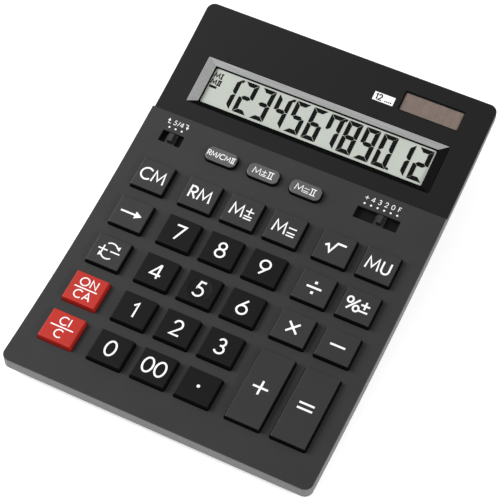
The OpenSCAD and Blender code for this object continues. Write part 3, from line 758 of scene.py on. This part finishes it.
def make_buttons():
    for node, words in BUTTON_WORDS.items():
        key = keycap(node, "button_grey", BUTTON_H, BUTTON_R, BUTTON_DRAW_IN)
        height, stretch = (2.75, 1.0) if len(words) > 3 else (3.3, 1.2)
        legend = Legend(0.36).write(words, height, 0.45, stretch=stretch)
        legend_piece("legend_" + node, legend, key.matrix, MATERIALS["ink_white"], node)


# ---- What is printed on the panels -------------------------------------------------------

# Here and in the display, a size without MM is in a legend's own millimetres
DOT_S = 129.25 * MM
DOT_R = 0.45
LABEL_S = 132.1 * MM
LABEL_H = 2.4
LABEL_STROKE = 0.28
DETENT = 3.03
LEFT_DOTS_X = -58.6
RIGHT_DOTS_X = 35.35
BADGE_X = 22.1 * MM
BADGE_S = 178.9 * MM


def hook_arrow(legend, x, up):
    """Small arrow with a foot, for rounding up or down."""
    way = 1 if up else -1
    shaft_x = x - 0.45 * way
    legend.line((shaft_x, 0.3 * way), (shaft_x, -1.0 * way), (x + 0.8 * way, -1.0 * way))
    legend.fill(arrow_head(shaft_x, 1.35 * way, 90 * way, 1.2, 1.4))


def make_switch_marks():
    ink = MATERIALS["ink_white"]
    for name, first, count in (("left", LEFT_DOTS_X, 3), ("right", RIGHT_DOTS_X, 6)):
        dots = Legend()
        for i in range(count):
            dots.fill(arc(first + i * DETENT, 0, DOT_R, DOT_R, 0, 345, steps=15))
        legend_piece("dots_" + name, dots, place(0, DOT_S), ink, "case")
    places = Legend(LABEL_STROKE)
    places.line((RIGHT_DOTS_X - 0.85, 0), (RIGHT_DOTS_X + 0.85, 0))
    places.line((RIGHT_DOTS_X, -0.85), (RIGHT_DOTS_X, 0.85))
    for i, glyph in enumerate(("4", "3", "2", "0", "F")):
        places.write([glyph], LABEL_H, 0, (RIGHT_DOTS_X + (i + 1) * DETENT, 0))
    legend_piece("decimal_labels", places, place(0, LABEL_S), ink, "case")
    rounding = Legend(LABEL_STROKE)
    for glyph, x in (("5", -57.0), ("/", -55.3), ("4", -53.7)):
        rounding.write([glyph], LABEL_H, 0, (x, 0))
    hook_arrow(rounding, -59.6, True)
    hook_arrow(rounding, -51.4, False)
    legend_piece("rounding_labels", rounding, place(0, LABEL_S), ink, "case")


def rounded_loop_at(x, y, half_w, half_d):
    return [(x + px, y + py) for px, py in rounded_loop(half_w, half_d, 0.1, 3)]


def make_digit_badge():
    """Small light plate that says how many digits the display has."""
    at = place(BADGE_X, BADGE_S, -PANEL_STEP)
    plate = Legend().fill(rounded_loop(4.85, 2.05, 0.25))
    legend_piece("badge_plate", plate, at, MATERIALS["ink_white"], "case")
    number = Legend(0.62).write("12", 3.3, 0.7, (-2.3, 0), 0.95)
    for x in (1.0, 1.9, 2.8, 3.7):
        number.fill(rounded_loop_at(x, -1.1, 0.3, 0.32))
    lift = Matrix.Translation((0, 0, INK_T))
    legend_piece("badge_number", number, at @ lift, MATERIALS["ink_black"], "case")


# ---- Display -----------------------------------------------------------------------------

WINDOW_X = -0.4 * MM
WINDOW_S = 156.9 * MM
BEVEL_DEPTH = 1.4 * MM
BEZEL_LEDGE = 0.5 * MM
LENS_T = 0.8 * MM
FIT = 0.05 * MM
GLASS_DEPTH = BEVEL_DEPTH + BEZEL_LEDGE + LENS_T + FIT
SOLAR_S = 181.3 * MM
SOLAR_DEPTH = 0.54 * MM

SEGMENTS = {
    "0": "abcdef", "1": "bc", "2": "abged", "3": "abgcd", "4": "fgbc",
    "5": "afgcd", "6": "afgedc", "7": "fabc", "8": "abcdefg", "9": "abcdfg",
}
DISPLAYED = "123456789012"
GROUP_STARTS = (0, 3, 6)
POINT_AFTER = 9
FIRST_DIGIT_X = -43.2
DIGIT_PITCH = 8.41
DIGIT_W = 6.7
DIGIT_H = 15.8
SEGMENT_T = 2.0
SEGMENT_GAP = 0.16


def segment_outlines():
    """Outline of each of the seven segments, about the middle of a digit."""
    w, h, t, g = DIGIT_W / 2, DIGIT_H / 2, SEGMENT_T, SEGMENT_GAP
    top = [(-w + g, h), (-w + t + g, h - t), (w - t - g, h - t), (w - g, h)]
    side = [(w, h - g), (w - t, h - t - g), (w - t, t / 2 + g), (w - t / 2, g), (w, g)]
    middle = [
        (-w + t / 2 + g, 0), (-w + t + g, t / 2), (w - t - g, t / 2),
        (w - t / 2 - g, 0), (w - t - g, -t / 2), (-w + t + g, -t / 2),
    ]
    return {
        "a": top, "b": side, "c": [(x, -y) for x, y in side], "d": [(x, -y) for x, y in top],
        "e": [(-x, -y) for x, y in side], "f": [(-x, y) for x, y in side], "g": middle,
    }


OUTLINES = segment_outlines()


def digit(legend, figure, x, y):
    """Seven-segment figure centred about (x, y)."""
    for name in SEGMENTS[figure]:
        legend.fill([(x + px, y + py) for px, py in OUTLINES[name]])


def border_piece(name, at, outer, inner, radius):
    """Black band round a window, between two rounded rectangles, in millimetres: a printed line round the display,
    and painted shade round the solar cell.
    """
    bm = bmesh.new()
    loops = []
    for (half_w, half_d), r, z in (
        (outer, 0.3, 0), (outer, 0.3, INK_T), (inner, radius, INK_T), (inner, radius, 0)
    ):
        outline = rounded_loop(half_w * MM, half_d * MM, r * MM)
        loops.append(add_loop(bm, outline, z))
    for lower, upper in zip(loops, loops[1:] + loops[:1]):
        bridge(bm, lower, upper)
    bmesh.ops.transform(bm, matrix=at, verts=bm.verts)
    return piece(name, bm, MATERIALS["ink_black"], "case")


def make_display():
    figures = Legend(0.62)
    for i, figure in enumerate(DISPLAYED):
        digit(figures, figure, FIRST_DIGIT_X + i * DIGIT_PITCH, 0.25)
    for i in GROUP_STARTS:
        x = FIRST_DIGIT_X + i * DIGIT_PITCH + 3.9
        figures.fill([(x - 0.45, 6.6), (x + 0.15, 6.6), (x + 0.6, 8.0), (x - 0.4, 8.0)])
    point_x = FIRST_DIGIT_X + POINT_AFTER * DIGIT_PITCH + 4.1
    figures.fill(arc(point_x, -7.0, 0.6, 0.6, 0, 345, steps=15))
    figures.write(["M", "I_serif"], 2.9, 0.5, (-50.8, 5.8), 1.1)
    figures.write(["M", "II"], 2.9, 0.5, (-50.6, 2.4), 1.1)
    figures.fill([(-52.8, -0.7), (-49.4, -0.7), (-49.4, 0.4), (-52.8, 0.4)])
    at = place(WINDOW_X, WINDOW_S, -PANEL_STEP - GLASS_DEPTH)
    legend_piece("lcd_figures", figures, at, MATERIALS["ink_black"], "case")
    border_piece("window_border", at, (54.6, 10.1), (53.35, 8.95), 0.8)
    solar_low, solar_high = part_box("solar_window")
    solar_x = (solar_low.x + solar_high.x) / 2
    half_w = (solar_high.x - solar_low.x) / 2 / MM
    solar_at = place(solar_x, SOLAR_S, -PANEL_STEP - SOLAR_DEPTH)
    # Painted shade: a black band round the solar cell stands in for the shade on the walls of its recess
    border_piece("solar_recess_painted_shade", solar_at, (half_w - 0.1, 4.75), (half_w - 0.55, 4.3), 0.4)


# ---- Stage, light and camera -------------------------------------------------------------


def add_light(name, location, aim, size, power):
    data = bpy.data.lights.new(name, "AREA")
    data.shape = "RECTANGLE"
    data.size, data.size_y = size
    data.energy = power
    obj = bpy.data.objects.new(name, data)
    bpy.context.scene.collection.objects.link(obj)
    obj.location = location
    obj.rotation_euler = (Vector(aim) - Vector(location)).to_track_quat("-Z", "Y").to_euler()


def make_stage():
    """Plain pale floor, lit a little from within so that it photographs as white paper."""
    half = 6.0
    bm = bmesh.new()
    corners = [bm.verts.new((x, y, 0)) for x, y in
               ((-half, -half), (half, -half), (half, half), (-half, half))]
    bm.faces.new(corners)
    mesh = bpy.data.meshes.new("floor")
    bm.to_mesh(mesh)
    bm.free()
    material, tree, shader = new_material("floor_paper")
    tree.links.new(
        ramp(tree, noise(tree, 3, 3), (0.92, 0.92, 0.92, 1), (0.96, 0.96, 0.96, 1)),
        shader.inputs["Base Color"],
    )
    shader.inputs["Roughness"].default_value = 0.9
    shader.inputs["Emission Color"].default_value = (1, 1, 1, 1)
    shader.inputs["Emission Strength"].default_value = 0.45
    mesh.materials.append(material)
    floor = bpy.data.objects.new("floor", mesh)
    bpy.context.scene.collection.objects.link(floor)


def make_light():
    world = bpy.data.worlds.new("studio")
    world.use_nodes = True
    background = world.node_tree.nodes["Background"]
    background.inputs["Color"].default_value = (1, 1, 1, 1)
    background.inputs["Strength"].default_value = 0.4
    scene = bpy.context.scene
    scene.world = world
    scene.view_settings.view_transform = "Standard"
    middle = (0, 0, 0)
    add_light("key_light", (-1.3, -0.15, 1.0), middle, (0.9, 0.9), 30)
    add_light("edge_light", (1.25, -0.3, 0.8), middle, (1.1, 0.3), 12)


def make_camera():
    data = bpy.data.cameras.new("camera")
    data.lens = LENS_MM
    data.sensor_width = 36.0
    data.clip_end = 20
    camera = bpy.data.objects.new("camera", data)
    bpy.context.scene.collection.objects.link(camera)
    look = (Vector(CAMERA_AIM) - Vector(CAMERA_AT)).to_track_quat("-Z", "Y").to_matrix().to_4x4()
    camera.matrix_world = (
        Matrix.Translation(CAMERA_AT) @ look @ Matrix.Rotation(CAMERA_ROLL, 4, "Z")
    )
    bpy.context.scene.camera = camera


paint_frame()
make_keys()
make_buttons()
make_switch_marks()
make_digit_badge()
make_display()
make_stage()
make_light()
make_camera()
